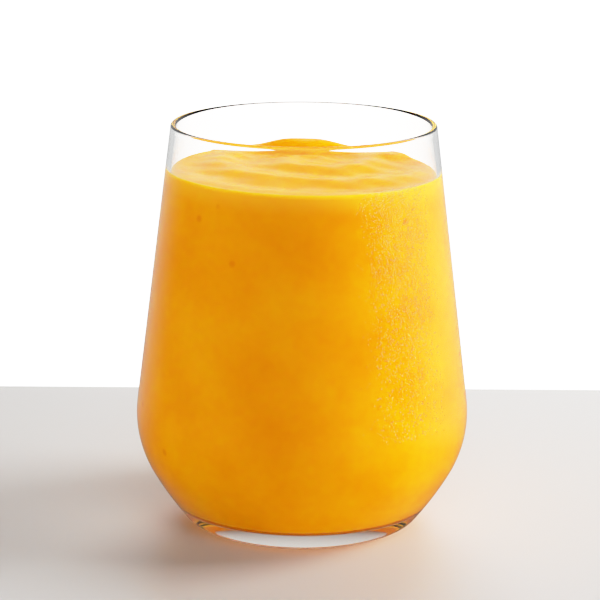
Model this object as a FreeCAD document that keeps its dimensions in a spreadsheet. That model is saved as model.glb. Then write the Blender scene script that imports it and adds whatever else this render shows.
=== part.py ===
# A mango smoothie in its glass: a stemless tumbler with a round belly, a tapered wall and a heavy
# base, filled almost to the rim. Millimetres, +Z up, the origin on the axis under the foot.
import FreeCAD, Part
import Sketcher
import math
import os

DRIVING_SIZES = [
    ("overallHeight", 110.0, "foot to lip"),
    ("rimDiameter", 71.75, "across the outside of the lip"),
    ("bellyDiameter", 91.33, "across the widest place"),
    ("bellyRadius", 30.9, "upright curve of the belly, outside"),
    ("bellySweep", 29.1, "degrees of that curve below the widest place"),
    ("lowerRadius", 90.0, "flatter curve from the belly to the foot, outside"),
    ("lowerSweep", 10.1, "degrees of the flatter curve"),
    ("footCornerRadius", 4.2, "curve where the side turns under"),
    ("ringWidth", 4.6, "flat ring that the glass stands on"),
    ("dishDepth", 0.8, "hollow under the foot, deepest on the axis"),
    ("wallThickness", 1.5, "wall of the glass"),
    ("lipBulge", 0.1, "how much thicker the melted lip is than the wall"),
    ("lipBlendRadius", 12.0, "inside, from the lip to the wall"),
    ("floorHeight", 6.2, "foot to the inside floor"),
    ("floorCornerRadius", 9.0, "inside, from the floor to the side"),
    ("fillGap", 0.1, "clearance between the glass and the drink"),
    ("headspace", 12.5, "lip down to the drink's mean level"),
    ("drinkTilt", 0.5, "how much higher the drink stands at the left of the wall"),
    ("swirlRise", 0.65, "ridge of the swirl over the mean level"),
    ("swirlSpacing", 19.0, "from one turn of the ridge to the next"),
    ("swirlCentreX", 3.0, "middle of the swirl"),
    ("swirlCentreY", 14.8, "middle of the swirl"),
    ("swirlTurn", 0.13, "share of a turn that the ridge is turned by"),
    ("eyeRadius", 5.0, "calm spot in the middle of the swirl"),
    ("moundRise", 2.2, "mound at the back over the mean level"),
    ("moundWidth", 30.0, "across the mound, along the wall"),
    ("moundDepth", 15.0, "across the mound, from the wall in"),
    ("moundInset", 6.0, "wall to the middle of the mound"),
    ("lobeRise", 1.1, "lobe that leans on the wall at the right"),
    ("lobeWidth", 12.0, "across the lobe"),
    ("lobeInset", 3.0, "wall to the middle of the lobe"),
    ("lobeBearing", 40.0, "degrees from +X round to the lobe"),
    ("rippleRise", 0.16, "small waves between the ridges"),
    ("rippleLength", 13.0, "from one small wave to the next"),
]

Z = FreeCAD.Vector(0, 0, 1)
START, END, CENTRE = 1, 2, 3
Z_AXIS = -2  # curve number of the sketch's vertical axis, which is the body's Z
ORIGIN = (-1, 1)  # curve and point numbers of the sketch's origin
HILL_STEEPNESS = 2.5  # how soon a mound or a lobe has died away
CALM_EDGE = 6  # power of the distance from the axis that stills the ridge at the wall
GRID_STEPS = 36  # heights along each side of the drink's surface

doc = FreeCAD.newDocument("MangoSmoothie")
sheet = doc.addObject("Spreadsheet::Sheet", "Sizes")
for row, (alias, value, note) in enumerate(DRIVING_SIZES, start=1):
    sheet.set(f"A{row}", note)
    sheet.set(f"B{row}", str(value))
    sheet.setAlias(f"B{row}", alias)
doc.recompute()


def size(alias):
    """The driving size as the sheet holds it."""
    return float(sheet.get(alias))


def point(x, z):
    return FreeCAD.Vector(x, z, 0)


def along(angle, distance=1.0):
    """A step of this length at an angle, in radians, from the sketch's horizontal."""
    return FreeCAD.Vector(distance * math.cos(angle), distance * math.sin(angle), 0)


def angle_of(vector):
    return math.atan2(vector.y, vector.x)


class Outside:
    """Where the outside curves' centres lie and where they meet, for the first lines of a sketch."""

    def __init__(self):
        self.lip_radius = (size("wallThickness") + size("lipBulge")) / 2
        self.lip = point(
            size("rimDiameter") / 2 - self.lip_radius, size("overallHeight") - self.lip_radius
        )
        self.to_belly = -math.radians(size("bellySweep"))
        self.to_corner = self.to_belly - math.radians(size("lowerSweep"))
        # Centres of curves that touch lie on one line, as far apart as their radii differ. The
        # chain starts under the belly's centre and is then raised until the corner stands on the foot.
        self.belly = point(size("bellyDiameter") / 2 - size("bellyRadius"), 0)
        self.lower = self.belly - along(self.to_belly, size("lowerRadius") - size("bellyRadius"))
        self.corner = self.lower + along(
            self.to_corner, size("lowerRadius") - size("footCornerRadius")
        )
        raised = point(0, size("footCornerRadius") - self.corner.y)
        self.belly = self.belly + raised
        self.lower = self.lower + raised
        self.corner = self.corner + raised
        # The wall touches the belly and the lip: its normal's angle is its taper.
        rise = self.lip - self.belly
        self.taper = angle_of(rise) - math.acos(
            (size("bellyRadius") - self.lip_radius) / rise.Length
        )

    def radius_at(self, height):
        """The straight wall's outside radius at this height."""
        touch = self.belly + along(self.taper, size("bellyRadius"))
        return touch.x - (height - touch.y) * math.tan(self.taper)


class Outline:
    """A sketch on a body's XZ plane, drawn in the half plane +X and turned about Z."""

    def __init__(self, body, name):
        self.sketch = body.newObject("Sketcher::SketchObject", name)
        planes = [f for f in body.Origin.OriginFeatures if f.Role == "XZ_Plane"]
        self.sketch.AttachmentSupport = [(planes[0], "")]
        self.sketch.MapMode = "FlatFace"

    def line(self, start, end, construction=False):
        return self.sketch.addGeometry(Part.LineSegment(start, end), construction)

    def arc(self, centre, radius, first, last, construction=False):
        """Counter-clockwise from the first angle to the last."""
        circle = Part.Circle(centre, Z, radius)
        return self.sketch.addGeometry(Part.ArcOfCircle(circle, first, last), construction)

    def tie(self, kind, *where):
        self.sketch.addConstraint(Sketcher.Constraint(kind, *where))

    def set_size(self, kind, name, value, formula, *where):
        number = self.sketch.addConstraint(Sketcher.Constraint(kind, *where, value))
        self.sketch.renameConstraint(number, name)
        self.sketch.setExpression(f"Constraints.{name}", formula)


LIP_RADIUS = "(Sizes.wallThickness + Sizes.lipBulge) / 2"


def draw_outside(outline, shape, construction):
    """Foot corner, lower curve, belly, tapered wall and round lip, each touching the next."""
    corner = outline.arc(
        shape.corner, size("footCornerRadius"), -math.pi / 2, shape.to_corner, construction
    )
    lower = outline.arc(
        shape.lower, size("lowerRadius"), shape.to_corner, shape.to_belly, construction
    )
    under = outline.arc(shape.belly, size("bellyRadius"), shape.to_belly, 0, construction)
    belly = outline.arc(shape.belly, size("bellyRadius"), 0, shape.taper, construction)
    wall = outline.line(
        shape.belly + along(shape.taper, size("bellyRadius")),
        shape.lip + along(shape.taper, shape.lip_radius),
        construction,
    )
    lip = outline.arc(shape.lip, shape.lip_radius, shape.taper, math.pi, construction)

    outline.set_size(
        "Radius", "footCorner", size("footCornerRadius"), "Sizes.footCornerRadius", corner
    )
    outline.set_size(
        "DistanceY", "footCornerZ", shape.corner.y, "Sizes.footCornerRadius",
        *ORIGIN, corner, CENTRE,
    )
    outline.tie("Vertical", corner, START, corner, CENTRE)
    outline.set_size("Radius", "lowerCurve", size("lowerRadius"), "Sizes.lowerRadius", lower)
    outline.set_size(
        "Angle", "lowerSweep", shape.to_belly - shape.to_corner, "Sizes.lowerSweep * 1 deg", lower
    )
    outline.tie("Tangent", corner, END, lower, START)
    outline.set_size("Radius", "belly", size("bellyRadius"), "Sizes.bellyRadius", under)
    outline.set_size("Angle", "bellySweep", -shape.to_belly, "Sizes.bellySweep * 1 deg", under)
    outline.set_size(
        "DistanceX", "bellyX", shape.belly.x, "Sizes.bellyDiameter / 2 - Sizes.bellyRadius",
        *ORIGIN, under, CENTRE,
    )
    outline.tie("Tangent", lower, END, under, START)
    outline.tie("Horizontal", under, END, under, CENTRE)
    outline.tie("Coincident", under, CENTRE, belly, CENTRE)
    outline.tie("Coincident", under, END, belly, START)
    outline.tie("Tangent", belly, END, wall, START)
    outline.set_size("Radius", "lip", shape.lip_radius, LIP_RADIUS, lip)
    outline.set_size(
        "DistanceX", "lipX", shape.lip.x, f"Sizes.rimDiameter / 2 - {LIP_RADIUS}",
        *ORIGIN, lip, CENTRE,
    )
    outline.set_size(
        "DistanceY", "lipZ", shape.lip.y, f"Sizes.overallHeight - {LIP_RADIUS}",
        *ORIGIN, lip, CENTRE,
    )
    outline.tie("Tangent", wall, END, lip, START)
    return {"corner": corner, "lower": lower, "belly": belly, "wall": wall, "lip": lip}


def draw_inside(outline, shape, outside, inset, inset_formula, floor, floor_formula, top):
    """Floor, floor corner, side and wall. The side and the wall are inset from the outside."""
    corner_radius = size("floorCornerRadius")
    corner_height = floor + corner_radius
    belly_radius = size("bellyRadius") - inset
    lower_radius = size("lowerRadius") - inset

    # The corner runs into the lower curve, or into the belly where the floor is that high.
    to_side = math.asin((corner_height - shape.lower.y) / (lower_radius - corner_radius))
    meets_lower = to_side < shape.to_belly
    if meets_lower:
        corner_centre = shape.lower + along(to_side, lower_radius - corner_radius)
    else:
        to_side = math.asin((corner_height - shape.belly.y) / (belly_radius - corner_radius))
        corner_centre = shape.belly + along(to_side, belly_radius - corner_radius)

    floor_line = outline.line(point(0, floor), point(corner_centre.x, floor))
    corner = outline.arc(corner_centre, corner_radius, -math.pi / 2, to_side)
    belly = outline.arc(shape.belly, belly_radius, max(to_side, shape.to_belly), shape.taper)
    wall = outline.line(shape.belly + along(shape.taper, belly_radius), top)

    outline.set_size(
        "Radius", "floorCorner", corner_radius, "Sizes.floorCornerRadius", corner
    )
    outline.set_size(
        "DistanceY", "floorCornerZ", corner_height,
        f"{floor_formula} + Sizes.floorCornerRadius", *ORIGIN, corner, CENTRE,
    )
    outline.tie("Vertical", corner, START, corner, CENTRE)
    outline.tie("PointOnObject", floor_line, START, Z_AXIS)
    outline.tie("Coincident", floor_line, END, corner, START)
    outline.tie("Horizontal", floor_line)
    outline.tie("Coincident", belly, CENTRE, outside["belly"], CENTRE)
    outline.set_size(
        "Radius", "insideBelly", belly_radius, f"Sizes.bellyRadius - ({inset_formula})", belly
    )
    if meets_lower:
        lower = outline.arc(shape.lower, lower_radius, to_side, shape.to_belly)
        outline.tie("Coincident", lower, CENTRE, outside["lower"], CENTRE)
        outline.tie("Tangent", corner, END, lower, START)
        outline.tie("Tangent", lower, END, belly, START)
    else:
        outline.tie("Tangent", corner, END, belly, START)
    outline.tie("Tangent", belly, END, wall, START)
    outline.tie("Parallel", wall, outside["wall"])
    return {"floor": floor_line, "wall": wall}


def turn_about_axis(body, outline, name):
    solid = body.newObject("PartDesign::Revolution", name)
    solid.Profile = outline.sketch
    solid.ReferenceAxis = (outline.sketch, ["V_Axis"])
    solid.Angle = 360.0
    outline.sketch.Visibility = False
    return solid


def make_glass(shape):
    """One wall turned about the axis, from the hollow under the foot round the lip to the floor."""
    body = doc.addObject("PartDesign::Body", "GlassBody")
    body.Label = "glass"
    outline = Outline(body, "GlassOutline")
    outside = draw_outside(outline, shape, construction=False)

    # The neck is a long hollow curve that thins the round lip down to the wall.
    inset = size("wallThickness")
    blend = size("lipBlendRadius")
    inward = inset + blend - shape.lip_radius
    down = math.sqrt((shape.lip_radius + blend) ** 2 - inward**2)
    neck_centre = shape.lip - along(shape.taper, inward) - along(shape.taper + math.pi / 2, down)
    neck_top = angle_of(shape.lip - neck_centre)
    neck = outline.arc(neck_centre, blend, shape.taper, neck_top)
    inside = draw_inside(
        outline, shape, outside, inset, "Sizes.wallThickness",
        size("floorHeight"), "Sizes.floorHeight", neck_centre + along(shape.taper, blend),
    )
    outline.set_size("Radius", "neck", blend, "Sizes.lipBlendRadius", neck)
    outline.tie("Tangent", outside["lip"], END, neck, END)
    outline.tie("Tangent", inside["wall"], END, neck, START)

    # The underside: a flat ring to stand on, and a shallow dish inside it.
    dish_radius = shape.corner.x - size("ringWidth")
    depth = size("dishDepth")
    sphere = (dish_radius**2 + depth**2) / (2 * depth)
    dish_centre = point(0, depth - sphere)
    edge = angle_of(point(dish_radius, 0) - dish_centre)
    dish = outline.arc(dish_centre, sphere, edge, math.pi / 2)
    ring = outline.line(point(dish_radius, 0), point(shape.corner.x, 0))
    axis = outline.line(point(0, depth), point(0, size("floorHeight")))
    outline.tie("PointOnObject", dish, CENTRE, Z_AXIS)
    outline.tie("PointOnObject", dish, END, Z_AXIS)
    outline.set_size("DistanceY", "dishTop", depth, "Sizes.dishDepth", *ORIGIN, dish, END)
    outline.tie("Coincident", ring, START, dish, START)
    outline.tie("Coincident", ring, END, outside["corner"], START)
    outline.tie("Horizontal", ring)
    outline.set_size(
        "DistanceX", "ringWidth", size("ringWidth"), "Sizes.ringWidth", ring, START, ring, END
    )
    outline.tie("Coincident", axis, START, dish, END)
    outline.tie("Coincident", axis, END, inside["floor"], START)
    turn_about_axis(body, outline, "GlassTurned")
    return body


def make_fill(shape):
    """What the glass holds, up to just under the lip, before its top is shaped."""
    body = doc.addObject("PartDesign::Body", "FillBody")
    body.Label = "fill"
    outline = Outline(body, "FillOutline")
    outside = draw_outside(outline, shape, construction=True)
    outline.tie("Horizontal", outside["lip"], END, outside["lip"], CENTRE)

    inset = size("wallThickness") + size("fillGap")
    top_height = size("overallHeight") - size("wallThickness") - size("lipBulge")
    top_corner = point(shape.radius_at(top_height) - inset / math.cos(shape.taper), top_height)
    inside = draw_inside(
        outline, shape, outside, inset, "Sizes.wallThickness + Sizes.fillGap",
        size("floorHeight") + size("fillGap"), "Sizes.floorHeight + Sizes.fillGap", top_corner,
    )
    outline.set_size(
        "DistanceY", "fillTop", top_height,
        "Sizes.overallHeight - Sizes.wallThickness - Sizes.lipBulge", *ORIGIN, inside["wall"], END,
    )
    top = outline.line(top_corner, point(0, top_height))
    axis = outline.line(point(0, top_height), point(0, size("floorHeight")))
    outline.tie("Coincident", top, START, inside["wall"], END)
    outline.tie("Horizontal", top)
    outline.tie("Coincident", axis, START, top, END)
    outline.tie("PointOnObject", axis, START, Z_AXIS)
    outline.tie("Coincident", axis, END, inside["floor"], START)
    turn_about_axis(body, outline, "FillTurned")
    return body


def bump(across, along_it):
    """A rounded hill, 1 at its middle and nearly 0 one half-width out."""
    return math.exp(-HILL_STEEPNESS * (across**2 + along_it**2) ** 1.5)


def surface_height(x, y, drink_radius):
    """The drink's top: a tilted level, a spiral ridge, a mound, a lobe and small waves."""
    level = size("overallHeight") - size("headspace")
    height = level - size("drinkTilt") * x / drink_radius

    # The ridge is highest where its distance from the middle, less its share of a turn, is whole.
    dx = x - size("swirlCentreX")
    dy = y - size("swirlCentreY")
    reach = math.hypot(dx, dy)
    turns = reach / size("swirlSpacing") - math.atan2(dy, dx) / (2 * math.pi) + size("swirlTurn")
    eye = 1 - math.exp(-((reach / size("eyeRadius")) ** 2))
    calm = 1 - min(1.0, math.hypot(x, y) / drink_radius) ** CALM_EDGE
    height += size("swirlRise") * math.cos(2 * math.pi * turns) * eye * calm

    mound_y = drink_radius - size("moundInset")
    height += size("moundRise") * bump(
        x / (size("moundWidth") / 2), (y - mound_y) / (size("moundDepth") / 2)
    )

    bearing = math.radians(size("lobeBearing"))
    lobe_reach = drink_radius - size("lobeInset")
    half = size("lobeWidth") / 2
    height += size("lobeRise") * bump(
        (x - lobe_reach * math.cos(bearing)) / half, (y - lobe_reach * math.sin(bearing)) / half
    )

    # Two slanted sets of waves cross, so that no two hollows between the ridges are alike.
    wave = 2 * math.pi / size("rippleLength")
    ripple = math.sin(wave * (x + y / 2)) * math.cos(wave * (y - x / 3))
    return height + size("rippleRise") * ripple * calm


def make_air(shape):
    """The room above the drink: a smooth surface through the heights, thickened upwards."""
    inset = size("wallThickness") + size("fillGap")
    level = size("overallHeight") - size("headspace")
    drink_radius = shape.radius_at(level) - inset / math.cos(shape.taper)
    half_side = size("bellyDiameter") / 2
    marks = [half_side * (2 * i / GRID_STEPS - 1) for i in range(GRID_STEPS + 1)]
    grid = [
        [FreeCAD.Vector(x, y, surface_height(x, y, drink_radius)) for y in marks] for x in marks
    ]
    surface = Part.BSplineSurface()
    surface.interpolate(grid)
    air = doc.addObject("Part::Feature", "AirAboveDrink")
    air.Label = "air"
    air.Shape = surface.toShape().extrude(FreeCAD.Vector(0, 0, 2 * size("headspace")))
    air.Placement = FreeCAD.Placement()
    return air


def make_smoothie(shape):
    """The drink: the fill with the air above its swirled top cut away."""
    drink = doc.addObject("Part::Cut", "Drink")
    drink.Label = "smoothie"
    drink.Base = make_fill(shape)
    drink.Tool = make_air(shape)
    return drink


def check(found, wanted):
    """Stops on a feature that failed or a sub-part that isn't one whole solid."""
    for feature in found:
        if "Invalid" in feature.State or "Error" in feature.State:
            raise RuntimeError(f"{feature.Label} did not build: {feature.State}")
    for part in wanted:
        if part.Shape.isNull() or not part.Shape.isValid() or len(part.Shape.Solids) != 1:
            raise RuntimeError(f"{part.Label} is not one valid solid")


outside_shape = Outside()
sub_parts = [make_glass(outside_shape), make_smoothie(outside_shape)]
doc.recompute()
check(doc.Objects, sub_parts)
os.makedirs("parts", exist_ok=True)
for part in sub_parts:
    part.Shape.exportStep(f"parts/{part.Label}.step")
    box = part.Shape.optimalBoundingBox(True, False)
    print(
        f"{part.Label}: {part.Shape.Volume / 1000:.2f} cm3, {box.XLength:.2f} mm across, "
        f"{box.ZMin:.2f} to {box.ZMax:.2f} mm high"
    )
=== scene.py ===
import bpy
import numpy as np
from mathutils import Matrix, Vector


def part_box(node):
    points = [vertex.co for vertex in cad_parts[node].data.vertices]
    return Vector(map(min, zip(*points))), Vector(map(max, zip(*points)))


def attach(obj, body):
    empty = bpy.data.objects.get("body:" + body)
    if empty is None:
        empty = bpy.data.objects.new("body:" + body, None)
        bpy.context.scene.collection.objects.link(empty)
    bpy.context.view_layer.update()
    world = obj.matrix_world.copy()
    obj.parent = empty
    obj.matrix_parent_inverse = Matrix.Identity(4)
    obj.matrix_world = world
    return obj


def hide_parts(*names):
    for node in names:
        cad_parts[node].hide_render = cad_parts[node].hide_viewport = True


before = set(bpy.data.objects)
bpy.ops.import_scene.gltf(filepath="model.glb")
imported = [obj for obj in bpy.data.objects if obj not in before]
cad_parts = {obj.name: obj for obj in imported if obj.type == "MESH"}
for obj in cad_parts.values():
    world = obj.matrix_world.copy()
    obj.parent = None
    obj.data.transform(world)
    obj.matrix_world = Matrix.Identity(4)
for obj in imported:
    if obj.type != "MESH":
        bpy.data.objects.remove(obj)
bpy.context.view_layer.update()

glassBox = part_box("glass")
mm = 0.001
print("frame loaded, glass", [round(v / mm, 1) for v in glassBox[1]], "mm")


def deg(angle):
    return np.radians(angle)


def meshPiece(name, points, faces, smooth=True):
    mesh = bpy.data.meshes.new(name)
    mesh.from_pydata(points.tolist(), [], faces)
    mesh.polygons.foreach_set("use_smooth", np.full(len(mesh.polygons), smooth))
    mesh.update()
    piece = bpy.data.objects.new(name, mesh)
    bpy.context.scene.collection.objects.link(piece)
    return piece


def ringFaces(rings, around):
    # quads between neighbouring rings, the last place round joined to the first; then a fan of
    # triangles from point 0 to the first ring and from the last point to the last ring
    i, j = np.meshgrid(np.arange(rings - 1), np.arange(around), indexing="ij")
    here = 1 + i * around + j
    beside = 1 + i * around + (j + 1) % around
    quads = np.stack([here, beside, beside + around, here + around], axis=-1).reshape(-1, 4)
    k = np.arange(around)
    first = np.stack([np.zeros(around, int), 1 + (k + 1) % around, 1 + k], axis=-1)
    end = 1 + (rings - 1) * around
    last = np.stack([np.full(around, 1 + rings * around), end + k, end + (k + 1) % around], axis=-1)
    return first.tolist() + quads.tolist() + last.tolist()


def turnedPoints(profile, around):
    # each profile point (r, z) carried round the axis; the two ends lie on the axis
    angle = 2 * np.pi * np.arange(around) / around
    r, z = profile[1:-1, 0][:, None], profile[1:-1, 1][:, None]
    rings = np.stack([r * np.cos(angle), r * np.sin(angle), z + 0 * angle], axis=-1).reshape(-1, 3)
    ends = [[0, 0, profile[0, 1]]], [[0, 0, profile[-1, 1]]]
    return np.concatenate([ends[0], rings, ends[1]])


def arcPoints(centre, radius, first, last, count):
    # centre + radius * (cos, sin) of evenly spaced angles
    angle = np.linspace(first, last, count)
    return np.stack([centre[0] + radius * np.cos(angle), centre[1] + radius * np.sin(angle)], axis=-1)


# the tumbler's outline is shared by the glass and by what fills it
tumbler = dict(
    around=288, height=glassBox[1][2],
    bellyHalfWidth=glassBox[1][0], rimHalfWidth=35.875 * mm,
    bellyRadius=30.9 * mm, bellySweep=29.1, lowerRadius=90 * mm, lowerSweep=10.1,
    footCorner=4.2 * mm, ringWidth=4.6 * mm, ringEdge=0.4 * mm, dishDepth=0.8 * mm,
    wall=1.5 * mm, lip=1.6 * mm, lipBlend=12 * mm, floor=6.2 * mm, floorCorner=9 * mm,
    # points on each run of the outline, inside and outside
    insideSteps=dict(floor=24, corner=20, lower=8, belly=28),
    outsideSteps=dict(dish=30, edge=6, foot=14, lower=14, belly=36, wall=40, lip=28, neck=10),
)


def outlineOf(t):
    # a chain of curves that touch: their centres lie on one line, as far apart as their radii
    # differ; the chain is raised until its lowest curve stands on the table
    toBelly, toCorner = -deg(t["bellySweep"]), -deg(t["bellySweep"] + t["lowerSweep"])
    step = lambda a, d: np.array([np.cos(a), np.sin(a)]) * d
    belly = np.array([t["bellyHalfWidth"] - t["bellyRadius"], 0])
    lower = belly - step(toBelly, t["lowerRadius"] - t["bellyRadius"])
    corner = lower + step(toCorner, t["lowerRadius"] - t["footCorner"])
    raised = np.array([0, t["footCorner"] - corner[1]])
    lipRadius = t["lip"] / 2
    lip = np.array([t["rimHalfWidth"] - lipRadius, t["height"] - lipRadius])
    rise = lip - belly - raised
    taper = np.arctan2(rise[1], rise[0]) - np.arccos((t["bellyRadius"] - lipRadius) / np.hypot(*rise))
    return dict(belly=belly + raised, lower=lower + raised, corner=corner + raised, lip=lip,
                lipRadius=lipRadius, toBelly=toBelly, toCorner=toCorner, taper=taper, step=step)


shape = outlineOf(tumbler)


def insideProfile(t, s, inset, floor):
    # floor, floor corner, lower curve, belly: the outside's curves moved in by the inset
    steps = t["insideSteps"]
    lowerRadius, bellyRadius = t["lowerRadius"] - inset, t["bellyRadius"] - inset
    cornerHeight = floor + t["floorCorner"]
    toSide = np.arcsin((cornerHeight - s["lower"][1]) / (lowerRadius - t["floorCorner"]))
    corner = s["lower"] + s["step"](toSide, lowerRadius - t["floorCorner"])
    across = np.linspace(0, corner[0], steps["floor"])
    flat = np.stack([across, np.full(steps["floor"], floor)], axis=-1)
    return np.concatenate([
        flat[:-1],
        arcPoints(corner, t["floorCorner"], -np.pi / 2, toSide, steps["corner"])[:-1],
        arcPoints(s["lower"], lowerRadius, toSide, s["toBelly"], steps["lower"])[:-1],
        arcPoints(s["belly"], bellyRadius, s["toBelly"], s["taper"], steps["belly"]),
    ])


def glassProfile(t, s):
    # from the axis under the dish out to the ring it stands on, up the outside's curves and the
    # straight wall, round the lip, through the neck and down the inside to the floor's middle
    steps = t["outsideSteps"]
    dishRadius = s["corner"][0] - t["ringWidth"]
    dish = np.linspace(0, dishRadius - t["ringEdge"], steps["dish"])
    underside = np.stack([dish, t["dishDepth"] * (1 - (dish / dishRadius) ** 2)], axis=-1)
    edgeTurn = np.linspace(0, 1, steps["edge"])[1:]
    ring = np.stack([dishRadius - t["ringEdge"] * (1 - edgeTurn),
                     underside[-1, 1] * (1 - edgeTurn) ** 2], axis=-1)
    outside = np.concatenate([
        arcPoints(s["corner"], t["footCorner"], -np.pi / 2, s["toCorner"], steps["foot"])[:-1],
        arcPoints(s["lower"], t["lowerRadius"], s["toCorner"], s["toBelly"], steps["lower"])[:-1],
        arcPoints(s["belly"], t["bellyRadius"], s["toBelly"], s["taper"], steps["belly"])[:-1],
    ])
    inward = t["wall"] + t["lipBlend"] - s["lipRadius"]
    down = np.sqrt((s["lipRadius"] + t["lipBlend"]) ** 2 - inward ** 2)
    neck = s["lip"] - s["step"](s["taper"], inward) - s["step"](s["taper"] + np.pi / 2, down)
    toLip = np.arctan2(*(s["lip"] - neck)[::-1])
    bellyTop = s["belly"] + s["step"](s["taper"], t["bellyRadius"])
    lipSide = s["lip"] + s["step"](s["taper"], s["lipRadius"])
    along = np.linspace(0, 1, steps["wall"])[:-1, None]
    wallOut = bellyTop + (lipSide - bellyTop) * along
    lipRound = arcPoints(s["lip"], s["lipRadius"], s["taper"], toLip + np.pi, steps["lip"])[:-1]
    neckRound = arcPoints(neck, t["lipBlend"], toLip, s["taper"], steps["neck"])[:-1]
    inside = insideProfile(t, s, t["wall"], t["floor"])[::-1]
    wallTop = neck + s["step"](s["taper"], t["lipBlend"])
    wallIn = wallTop + (inside[0] - wallTop) * along
    return np.concatenate([underside, ring, outside, wallOut, lipRound, neckRound, wallIn, inside])


def wallRadiusAt(height, inset):
    # the straight wall's outside radius at a height, less the inset square to the wall
    touch = shape["belly"] + shape["step"](shape["taper"], tumbler["bellyRadius"])
    return touch[0] - (height - touch[1]) * np.tan(shape["taper"]) - inset / np.cos(shape["taper"])


def newMaterial(name):
    material = bpy.data.materials.new(name)
    material.use_nodes = True
    nodes = material.node_tree.nodes
    return material, nodes, material.node_tree.links, nodes["Principled BSDF"]


def noiseNode(nodes, links, coords, scale, detail):
    noise = nodes.new("ShaderNodeTexNoise")
    noise.inputs["Scale"].default_value = scale
    noise.inputs["Detail"].default_value = detail
    links.new(coords, noise.inputs["Vector"])
    return noise.outputs["Fac"]


def mathNode(nodes, links, operation, *values):
    # one sum or product; each value is a number or another node's output
    node = nodes.new("ShaderNodeMath")
    node.operation = operation
    for socket, value in zip(node.inputs, values):
        if isinstance(value, (int, float)):
            socket.default_value = value
        else:
            links.new(value, socket)
    return node.outputs[0]


def softStep(nodes, links, value, span, ends=(0.0, 1.0)):
    # ends[0] below the span, ends[1] above it, and a smooth S-shaped step between
    step = nodes.new("ShaderNodeMapRange")
    step.interpolation_type = "SMOOTHSTEP"
    for name, number in zip(("From Min", "From Max", "To Min", "To Max"), (*span, *ends)):
        step.inputs[name].default_value = number
    links.new(value, step.inputs["Value"])
    return step.outputs[0]


def mixColour(nodes, links, share, under, over):
    mix = nodes.new("ShaderNodeMix")
    mix.data_type = "RGBA"
    links.new(share, mix.inputs["Factor"])
    links.new(under, mix.inputs["A"])
    mix.inputs["B"].default_value = over
    return mix.outputs["Result"]


def mixShader(nodes, links, share, first, second):
    mix = nodes.new("ShaderNodeMixShader")
    links.new(share, mix.inputs[0])
    links.new(first.outputs[0], mix.inputs[1])
    links.new(second.outputs[0], mix.inputs[2])
    links.new(mix.outputs[0], nodes["Material Output"].inputs["Surface"])


def letLightThrough(nodes, links, shader, tint):
    # the eye meets the bending shader; shadows and soft light pass straight on, a little dimmed
    path = nodes.new("ShaderNodeLightPath").outputs
    soft = mathNode(nodes, links, "MAXIMUM", path["Is Shadow Ray"], path["Is Diffuse Ray"])
    through = nodes.new("ShaderNodeBsdfTransparent")
    through.inputs["Color"].default_value = tint
    mixShader(nodes, links, soft, shader, through)


glassFinish = dict(colour=(0.985, 0.995, 0.99, 1), rough=0.0, bend=1.52, clear=1.0,
                   dimmed=(0.95, 0.96, 0.955, 1))
# the drops' cream colour with a 0.03 matt share is a painted highlight: each drop reads paler than
# the drink behind it, in place of sparkle
dewFinish = dict(colour=(1, 0.97, 0.8, 1), rough=0.1, bend=1.2, clear=0.97,
                 dimmed=(0.98, 0.98, 0.98, 1))


def clearMaterial(name, finish):
    # bends light by its index; dimmed is how much of the shadow and soft light it lets by
    material, nodes, links, shader = newMaterial(name)
    shader.inputs["Base Color"].default_value = finish["colour"]
    shader.inputs["Roughness"].default_value = finish["rough"]
    shader.inputs["IOR"].default_value = finish["bend"]
    shader.inputs["Transmission Weight"].default_value = finish["clear"]
    letLightThrough(nodes, links, shader, finish["dimmed"])
    return material


puree = dict(
    dark=(0.85, 0.292, 0.0011, 1), light=(0.96, 0.375, 0.002, 1),
    cloudScale=60, cloudDetail=3.0, fleckScale=420, fleckDetail=2.0, fleckShare=0.25,
    cloudSpan=(0.40, 0.85),
    bend=1.36, gloss=0.15, shine=0.2, matt=0.6,
    overGlass=0.895, mirrorRough=0.03, mirrorTint=(0.97, 0.96, 0.93, 1),
    depth=(3.2 * mm, 2.8 * mm, 0.6 * mm),
    # paintedEdgeGlow is painted light: a paler colour under the top against the glass, in place of
    # light through the drink's edge
    paintedEdgeGlow=(0.955, 0.435, 0.012, 1), paintedEdgeGlowDepth=(6.0 * mm, 0.5 * mm),
    speck=(0.81, 0.25, 0.001, 1), speckScale=70, speckReach=(0.5 * mm, 1.3 * mm),
)


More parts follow.
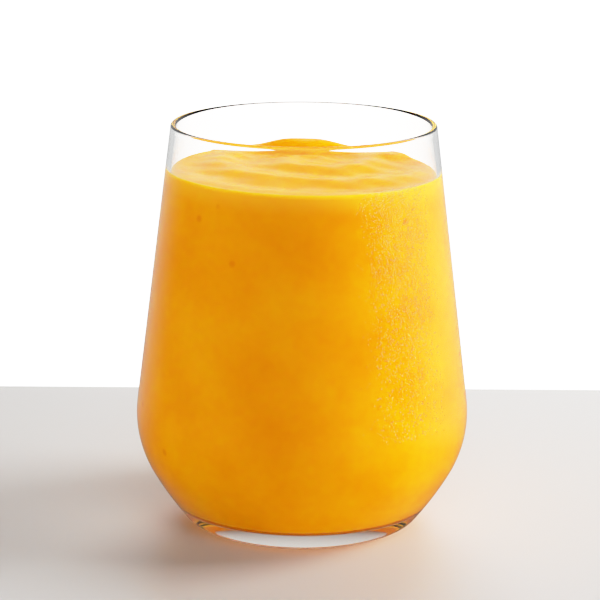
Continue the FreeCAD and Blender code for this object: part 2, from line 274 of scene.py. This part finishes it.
def mangoPuree(name, wet):
    # cloudy colour: clouds + share * fine pulp, read in the object's own coordinates
    material, nodes, links, shader = newMaterial(name)
    coords = nodes.new("ShaderNodeTexCoord").outputs["Object"]
    clouds = noiseNode(nodes, links, coords, puree["cloudScale"], puree["cloudDetail"])
    pulp = noiseNode(nodes, links, coords, puree["fleckScale"], puree["fleckDetail"])
    blend = mathNode(nodes, links, "MULTIPLY_ADD", pulp, puree["fleckShare"], clouds)
    ramp = nodes.new("ShaderNodeValToRGB")
    for stop, place, tone in zip(ramp.color_ramp.elements, puree["cloudSpan"],
                                 (puree["dark"], puree["light"])):
        stop.position = place
        stop.color = tone
    links.new(blend, ramp.inputs[0])
    shown = ramp.outputs[0]
    if not wet:
        # painted light: paler against the glass just under the top, standing in for the light from
        # the top that shines through the drink's thin edge; by height + tilt * x
        split = nodes.new("ShaderNodeSeparateXYZ")
        links.new(coords, split.inputs[0])
        height = mathNode(nodes, links, "MULTIPLY_ADD", split.outputs["X"],
                          drink["tilt"] / tumbler["rimHalfWidth"], split.outputs["Z"])
        span = [drink["level"] + drink["cling"] - depth for depth in puree["paintedEdgeGlowDepth"]]
        shown = mixColour(nodes, links, softStep(nodes, links, height, span), shown, puree["paintedEdgeGlow"])
        # a few darker bits of fruit: balls round scattered points, soft at their edges
        scatter = nodes.new("ShaderNodeTexVoronoi")
        scatter.inputs["Scale"].default_value = puree["speckScale"]
        links.new(coords, scatter.inputs["Vector"])
        span = [reach * puree["speckScale"] for reach in puree["speckReach"]]
        bits = softStep(nodes, links, scatter.outputs["Distance"], span, (1.0, 0.0))
        shown = mixColour(nodes, links, bits, shown, puree["speck"])
    links.new(shown, shader.inputs["Base Color"])
    shader.inputs["Subsurface Weight"].default_value = 1.0
    shader.inputs["Subsurface Radius"].default_value = puree["depth"]
    shader.inputs["Subsurface Scale"].default_value = 1.0
    shader.inputs["IOR"].default_value = puree["bend"]
    shader.inputs["Roughness"].default_value = puree["gloss"] if wet else puree["matt"]
    shader.inputs["Specular IOR Level"].default_value = puree["shine"] if wet else 0.0
    return material, nodes, links, shader


def mangoOverFloor():
    # seen from inside the glass, which bends light more than the drink does: flat looks are
    # mirrored whole, steep ones show the drink, and that is what makes a thick base look clear
    material, nodes, links, shader = mangoPuree("mangoOverFloor", wet=False)
    inside = nodes.new("ShaderNodeFresnel")
    inside.inputs["IOR"].default_value = puree["overGlass"]
    mirror = nodes.new("ShaderNodeBsdfGlossy")
    mirror.inputs["Roughness"].default_value = puree["mirrorRough"]
    mirror.inputs["Color"].default_value = puree["mirrorTint"]
    mixShader(nodes, links, inside.outputs[0], shader, mirror)
    return material


def makeGlass():
    profile = glassProfile(tumbler, shape)
    around = tumbler["around"]
    points = turnedPoints(profile, around)
    piece = meshPiece("tumblerGlass", points, ringFaces(len(profile) - 2, around))
    piece.data.materials.append(clearMaterial("clearGlass", glassFinish))
    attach(piece, "root")
    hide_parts("glass")
    print("glass", len(piece.data.polygons), "faces")
    return piece


drink = dict(
    reach=0.15 * mm,  # how far the drink's mesh goes into the glass, so that no air shows between
    around=360, sideSteps=56, topRings=110, rounds=4,
    level=97.5 * mm, tilt=0.5 * mm,
    swirlRise=0.65 * mm, swirlSpacing=19 * mm, swirlCentre=(3 * mm, 14.8 * mm), swirlTurn=0.13,
    eye=5 * mm, calmPower=6,
    moundRise=2.7 * mm, moundWidth=31 * mm, moundDepth=15 * mm, moundInset=6 * mm,
    lobeRise=1.1 * mm, lobeWidth=12 * mm, lobeInset=3 * mm, lobeBearing=40,
    rippleRise=0.16 * mm, rippleLength=13 * mm, rippleSkew=(2, 3),
    cling=0.12 * mm, clingWidth=1.0 * mm,
    mirrorReach=0.1,  # how far up the floor's corner the clear base's mirroring goes
)


def hill(u, v, fall=2.5, power=1.5):
    # exp(-fall * distance ^ (2 * power)): 1 in the middle, nearly 0 one half-width out
    return np.exp(-fall * (u ** 2 + v ** 2) ** power)


def drinkTop(x, y):
    # tilted level + cosine of a spiral's turns + hills + crossed small waves + film at the wall
    d = drink
    wall = wallRadiusAt(d["level"], tumbler["wall"] - d["reach"])
    r = np.hypot(x, y)
    z = d["level"] - d["tilt"] * x / wall
    dx, dy = x - d["swirlCentre"][0], y - d["swirlCentre"][1]
    reach = np.hypot(dx, dy)
    turns = reach / d["swirlSpacing"] - np.arctan2(dy, dx) / (2 * np.pi) + d["swirlTurn"]
    calm = 1 - np.minimum(1, r / wall) ** d["calmPower"]  # level out towards the wall
    z += d["swirlRise"] * np.cos(2 * np.pi * turns) * (1 - np.exp(-(reach / d["eye"]) ** 2)) * calm
    z += d["moundRise"] * hill(x / (d["moundWidth"] / 2),
                               (y - wall + d["moundInset"]) / (d["moundDepth"] / 2))
    bearing, lobeReach = deg(d["lobeBearing"]), wall - d["lobeInset"]
    z += d["lobeRise"] * hill((x - lobeReach * np.cos(bearing)) / (d["lobeWidth"] / 2),
                              (y - lobeReach * np.sin(bearing)) / (d["lobeWidth"] / 2))
    wave, skew = 2 * np.pi / d["rippleLength"], d["rippleSkew"]
    z += (d["rippleRise"] * np.sin(wave * (x + y / skew[0]))
          * np.cos(wave * (y - x / skew[1])) * calm)
    z += d["cling"] * np.exp(-np.maximum(wall - r, 0) / d["clingWidth"])
    return z


def makeDrink():
    d = drink
    inset = tumbler["wall"] - d["reach"]
    angle = 2 * np.pi * np.arange(d["around"]) / d["around"]
    cosA, sinA = np.cos(angle), np.sin(angle)
    lowPart = insideProfile(tumbler, shape, inset, tumbler["floor"] - d["reach"])
    lowRings = np.stack([lowPart[1:, :1] * cosA, lowPart[1:, :1] * sinA,
                         lowPart[1:, 1:] + 0 * angle], axis=-1)
    # the contact line's height depends on its radius a little, so it is settled in a few rounds
    edge = np.full(d["around"], wallRadiusAt(d["level"], inset))
    for _ in range(d["rounds"]):
        contact = drinkTop(edge * cosA, edge * sinA)
        edge = wallRadiusAt(contact, inset)
    mirrorTop = tumbler["floor"] + d["mirrorReach"] * tumbler["floorCorner"]
    floorRings = int(np.sum(lowPart[:, 1] < mirrorTop))
    start = lowPart[-1]
    along = (np.arange(d["sideSteps"]) + 1)[:, None] / d["sideSteps"]
    height = start[1] + (contact - start[1]) * along
    radius = wallRadiusAt(height, inset)
    sideRings = np.stack([radius * cosA, radius * sinA, height], axis=-1)
    inward = (1 - (np.arange(d["topRings"]) + 1) / (d["topRings"] + 1))[:, None]
    x, y = inward * edge * cosA, inward * edge * sinA
    topRings = np.stack([x, y, drinkTop(x, y)], axis=-1)
    rings = np.concatenate([lowRings, sideRings, topRings])
    middle = drinkTop(np.zeros(1), np.zeros(1))[0]
    points = np.concatenate([[[0, 0, lowPart[0, 1]]], rings.reshape(-1, 3), [[0, 0, middle]]])
    piece = meshPiece("mangoSmoothie", points, ringFaces(len(rings), d["around"]))
    piece.data.materials.append(mangoOverFloor())
    piece.data.materials.append(mangoPuree("mangoAgainstGlass", wet=False)[0])
    piece.data.materials.append(mangoPuree("mangoTop", wet=True)[0])
    # ring by ring from the floor's middle: floor and its corner, the wall, then the top
    ring = np.arange(len(piece.data.polygons)) // d["around"]
    slots = np.int32(ring > floorRings) + np.int32(ring >= len(lowRings) + len(sideRings))
    piece.data.polygons.foreach_set("material_index", slots)
    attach(piece, "root")
    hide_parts("smoothie")
    print("drink", len(piece.data.polygons), "faces, top", round(float(points[:, 2].max()) / mm, 2))
    return piece


# condensation on the outside
dew = dict(
    seed=11, pitch=0.45 * mm, jitter=(0.1, 0.9),
    smallest=0.10 * mm, largest=0.22 * mm, sizeShape=(1.6, 2.6), rise=0.12, stretch=1.1,
    wobble=0.06, sides=7, shoulder=(0.72, 0.62), off=0.004 * mm,
    bearing=41, spread=14, low=32 * mm, high=98.5 * mm,
    thick=0.95, lowShare=0.25, fade=1.5,
    patchDepth=0.35, patchTurns=(23, 31), patchHeights=(210, 330), patchBend=(3, 2),
)


def dropShape(sides, shoulder):
    # unit drop: middle of the base, base ring, a ring part way up, the top at height 1
    angle = 2 * np.pi * np.arange(sides) / sides
    ring = lambda radius, up: np.stack([radius * np.cos(angle), radius * np.sin(angle),
                                        np.full(sides, up)], axis=-1)
    points = np.concatenate([[[0, 0, 0.0]], ring(1.0, 0.0), ring(*shoulder), [[0, 0, 1.0]]])
    return points, ringFaces(2, sides)


def makeDew():
    d = dew
    rng = np.random.default_rng(d["seed"])
    # one drop at most in each cell of a jittered net laid round the wall
    around = int(2 * np.pi * tumbler["bellyHalfWidth"] / d["pitch"])
    up = int((d["high"] - d["low"]) / d["pitch"])
    column, row = np.meshgrid(np.arange(around), np.arange(up), indexing="ij")
    column, row = column.ravel(), row.ravel()
    turn = 2 * np.pi * (column + rng.uniform(*d["jitter"], column.size)) / around
    height = d["low"] + d["pitch"] * (row + rng.uniform(*d["jitter"], row.size))
    # likely where the wall faces front right and high up, with ragged patches from crossed waves
    bearing = np.degrees((turn + np.pi / 2 + np.pi) % (2 * np.pi) - np.pi)
    share = (height - d["low"]) / (d["high"] - d["low"])
    turns, heights, bend = d["patchTurns"], d["patchHeights"], d["patchBend"]
    patch = (np.sin(turn * turns[0] + bend[0] * np.sin(height * heights[0]))
             * np.sin(height * heights[1] + bend[1] * np.sin(turn * turns[1])))
    near = np.exp(-((bearing - d["bearing"]) / d["spread"]) ** 4)
    climb = d["lowShare"] + (1 - d["lowShare"]) * share ** d["fade"]
    likely = d["thick"] * near * climb * (1 + d["patchDepth"] * patch)
    kept = rng.uniform(size=turn.size) < likely
    turn, height = turn[kept], height[kept]
    count = turn.size
    size = d["smallest"] + (d["largest"] - d["smallest"]) * rng.beta(*d["sizeShape"], count)
    # each drop's own axes: outward from the wall, up along it, and sideways
    lean = shape["taper"]
    out = np.stack([np.cos(turn) * np.cos(lean), np.sin(turn) * np.cos(lean),
                    np.full(count, np.sin(lean))], axis=-1)
    side = np.stack([-np.sin(turn), np.cos(turn), np.zeros(count)], axis=-1)
    upward = np.cross(out, side)
    radius = wallRadiusAt(height, -d["off"])
    foot = np.stack([radius * np.cos(turn), radius * np.sin(turn), height], axis=-1)
    unit, faces = dropShape(d["sides"], d["shoulder"])
    wobble = 1 + d["wobble"] * rng.standard_normal((count, len(unit)))
    wide = size[:, None] * wobble
    points = (foot[:, None]
              + unit[None, :, :1] * wide[..., None] * side[:, None]
              + unit[None, :, 1:2] * (wide * d["stretch"])[..., None] * upward[:, None]
              + unit[None, :, 2:] * (size * d["rise"])[:, None, None] * out[:, None])
    # a triangle's fourth place is -1, so that every drop's faces fit one array
    faces = np.array([f if len(f) == 4 else f + [-1] for f in faces])
    stacked = faces[None] + (np.arange(count) * len(unit))[:, None, None]
    stacked = stacked.reshape(-1, 4)
    triangle = np.tile(faces[:, 3] < 0, count)
    allFaces = stacked[~triangle].tolist() + stacked[triangle][:, :3].tolist()
    piece = meshPiece("condensationDrops", points.reshape(-1, 3), allFaces)
    piece.data.materials.append(clearMaterial("waterDrop", dewFinish))
    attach(piece, "root")
    print("dew", count, "drops,", int(len(allFaces) + np.sum(~triangle)), "triangles")
    return piece


def collect(name, *pieces):
    group = bpy.data.collections.new(name)
    for piece in pieces:
        group.objects.link(piece)


table = dict(
    width=2.4, behind=0.1204, front=2.2, thick=0.03, gap=0.02 * mm,
    tone=(0.61, 0.60, 0.59, 1), rough=0.45,
)


def makeTable():
    t = table
    low = np.array([-t["width"] / 2, -t["front"], -t["thick"]])
    high = np.array([t["width"] / 2, t["behind"], -t["gap"]])
    corner = np.array([[0, 0, 0], [1, 0, 0], [1, 1, 0], [0, 1, 0],
                       [0, 0, 1], [1, 0, 1], [1, 1, 1], [0, 1, 1]])
    faces = [[0, 3, 2, 1], [4, 5, 6, 7], [0, 1, 5, 4], [1, 2, 6, 5], [2, 3, 7, 6], [3, 0, 4, 7]]
    piece = meshPiece("tableTop", low + (high - low) * corner, faces, smooth=False)
    material, _, _, shader = newMaterial("paleTable")
    shader.inputs["Base Color"].default_value = t["tone"]
    shader.inputs["Roughness"].default_value = t["rough"]
    piece.data.materials.append(material)
    piece.visible_glossy = False
    print("table laid, top", round(-t["gap"] / mm, 2), "mm")
    return piece


# the surroundings as the glass and the wet drink see them: spread is along y + lean * x, which
# grows backwards; edge and foot are along z, which grows upwards
sky = dict(
    backdrop=2.2, back=0.68, front=0.02, lean=0.35, spread=(0.0, 0.9),
    edge=(0.25, 0.58), foot=(-0.45, -0.1), footShare=0.2, inGlass=0.82,
)


def makeWorld():
    # past the glass or straight through it, the backdrop's plain white; looks that the glass has
    # mirrored on their way, the same all round but dark overhead; light mirrored outside, white
    # behind and dark in front, overhead and well below; what is matt gets only the softboxes
    world = bpy.data.worlds.new("studio")
    world.use_nodes = True
    nodes, links = world.node_tree.nodes, world.node_tree.links

    def combine(operation, *values):
        return mathNode(nodes, links, operation, *values)

    split = nodes.new("ShaderNodeSeparateXYZ")
    links.new(nodes.new("ShaderNodeTexCoord").outputs["Generated"], split.inputs[0])
    behind = combine("MULTIPLY_ADD", split.outputs["X"], sky["lean"], split.outputs["Y"])
    spread = softStep(nodes, links, behind, sky["spread"], (sky["front"], sky["back"]))
    overhead = softStep(nodes, links, split.outputs["Z"], sky["edge"], (1.0, sky["front"]))
    under = softStep(nodes, links, split.outputs["Z"], sky["foot"], (sky["footShare"], 1.0))
    path = nodes.new("ShaderNodeLightPath").outputs
    straight = combine("LESS_THAN", path["Glossy Depth"], 0.5)  # 1 until the first mirroring
    turned = combine("MULTIPLY", overhead, sky["inGlass"])
    through = combine("MULTIPLY_ADD", straight, combine("SUBTRACT", sky["backdrop"], turned),
                      turned)
    direct = combine("MAXIMUM", path["Is Transmission Ray"], path["Is Camera Ray"])
    mirrored = combine("MULTIPLY", spread, combine("MULTIPLY", under, overhead))
    strength = combine("ADD", combine("MULTIPLY", direct, through),
                       combine("MULTIPLY", combine("SUBTRACT", 1.0, direct), mirrored))
    light = nodes["Background"]
    light.inputs["Color"].default_value = (1, 1, 1, 1)
    links.new(strength, light.inputs["Strength"])
    world.cycles_visibility.diffuse = False
    bpy.context.scene.world = world
    print("surroundings made")


softboxes = dict(
    aim=(0, 0, 0.06),
    boxes=[  # name, azimuth, elevation, distance, width, height, power, what it lights
        ("backSoftbox", 175, 18, 1.0, 0.6, 0.5, 15, "everything"),
        ("keySoftbox", 98, 36, 1.0, 0.5, 0.5, 10, "everything"),
        ("frontFill", 40, 14, 1.0, 0.5, 0.5, 4.3, "everything"),
        ("sideStrip", 90, 12, 1.0, 0.5, 0.5, 11, "object"),
        ("leftStrip", -100, 12, 1.0, 0.5, 0.5, 5.5, "object"),
        ("leftHigh", -70, 60, 1.0, 0.5, 0.5, 5, "object"),
        ("overhead", 0, 88, 1.0, 0.5, 0.5, 2.2, "object"),
        ("lowFill", -10, -30, 1.0, 0.5, 0.5, 3.5, "object"),
        ("tableFill", 5, 52, 1.0, 0.5, 0.5, 2.7, "table"),
    ],
)


def addSoftbox(name, azimuth, elevation, distance, width, tall, power, lit):
    # azimuth 0 is the viewer's side, 90 the right; one under the table isn't stopped by it
    lamp = bpy.data.lights.new(name, "AREA")
    lamp.shape = "RECTANGLE"
    lamp.size, lamp.size_y = width, tall
    lamp.energy = power
    box = bpy.data.objects.new(name, lamp)
    box.visible_glossy = False
    box.visible_transmission = False
    a, e = deg(azimuth), deg(elevation)
    aim = Vector(softboxes["aim"])
    toBox = Vector((np.sin(a) * np.cos(e), -np.cos(a) * np.cos(e), np.sin(e)))
    box.location = aim + distance * toBox
    box.rotation_euler = (aim - box.location).to_track_quat("-Z", "Y").to_euler()
    if lit != "everything":
        box.light_linking.receiver_collection = bpy.data.collections[lit]
        if elevation < 0:
            box.light_linking.blocker_collection = bpy.data.collections[lit]
    bpy.context.scene.collection.objects.link(box)


glow = dict(
    width=0.068, aside=0.001, forward=-0.001, height=0.003, power=0.004, colour=(1.0, 0.42, 0.04),
)


def addGlow():
    # the warm light that a glass of drink throws on the table at its foot
    g = glow
    lamp = bpy.data.lights.new("drinkGlow", "AREA")
    lamp.shape = "DISK"
    lamp.size = g["width"]
    lamp.energy = g["power"]
    lamp.color = g["colour"]
    disc = bpy.data.objects.new("drinkGlow", lamp)
    disc.location = (g["aside"], g["forward"], g["height"])
    disc.visible_glossy = disc.visible_transmission = disc.visible_camera = False
    disc.light_linking.receiver_collection = bpy.data.collections["table"]
    disc.light_linking.blocker_collection = bpy.data.collections["table"]
    bpy.context.scene.collection.objects.link(disc)


view = dict(
    distance=0.607, height=0.2166, pitch=14.38, roll=0.38, aside=-0.00075, lens=137.34, sensor=36,
    # the picture's tones: the brightest value kept, and points of the curve from light to shown
    white=2,
    shoulder=((0.17, 0.335), (0.34, 0.665), (0.415, 0.755), (0.54, 0.855), (0.735, 0.947)),
)


def makeCamera():
    v = view
    camera = bpy.data.objects.new("camera", bpy.data.cameras.new("camera"))
    camera.data.sensor_width = v["sensor"]
    camera.data.lens = v["lens"]
    turn = Matrix.Rotation(deg(90 - v["pitch"]), 4, "X") @ Matrix.Rotation(deg(v["roll"]), 4, "Z")
    camera.matrix_world = Matrix.Translation((v["aside"], -v["distance"], v["height"])) @ turn
    bpy.context.scene.collection.objects.link(camera)
    bpy.context.scene.camera = camera
    print("camera placed", v["distance"], "m in front")


# how often light may turn, and of that how often by passing through something clear
paths = dict(turns=24, throughTurns=16)

makeCamera()
collect("table", makeTable())
collect("object", makeGlass(), makeDrink(), makeDew())
makeWorld()
for box in softboxes["boxes"]:
    addSoftbox(*box)
addGlow()
print("lamps", len(softboxes["boxes"]) + 1)

scene = bpy.context.scene
scene.view_settings.view_transform = "Standard"
scene.view_settings.use_curve_mapping = True
tone = scene.view_settings.curve_mapping
tone.white_level = (view["white"],) * 3
shoulder = tone.curves[3].points  # the curve that all three colours share
shoulder[0].location = (0, 0)
shoulder[1].location = (1, 1)
for light, shown in view["shoulder"]:
    shoulder.new(light, shown)
tone.update()
scene.cycles.use_denoising = True
scene.cycles.max_bounces = paths["turns"]
scene.cycles.transmission_bounces = paths["throughTurns"]
scene.cycles.caustics_reflective = False
scene.cycles.caustics_refractive = False
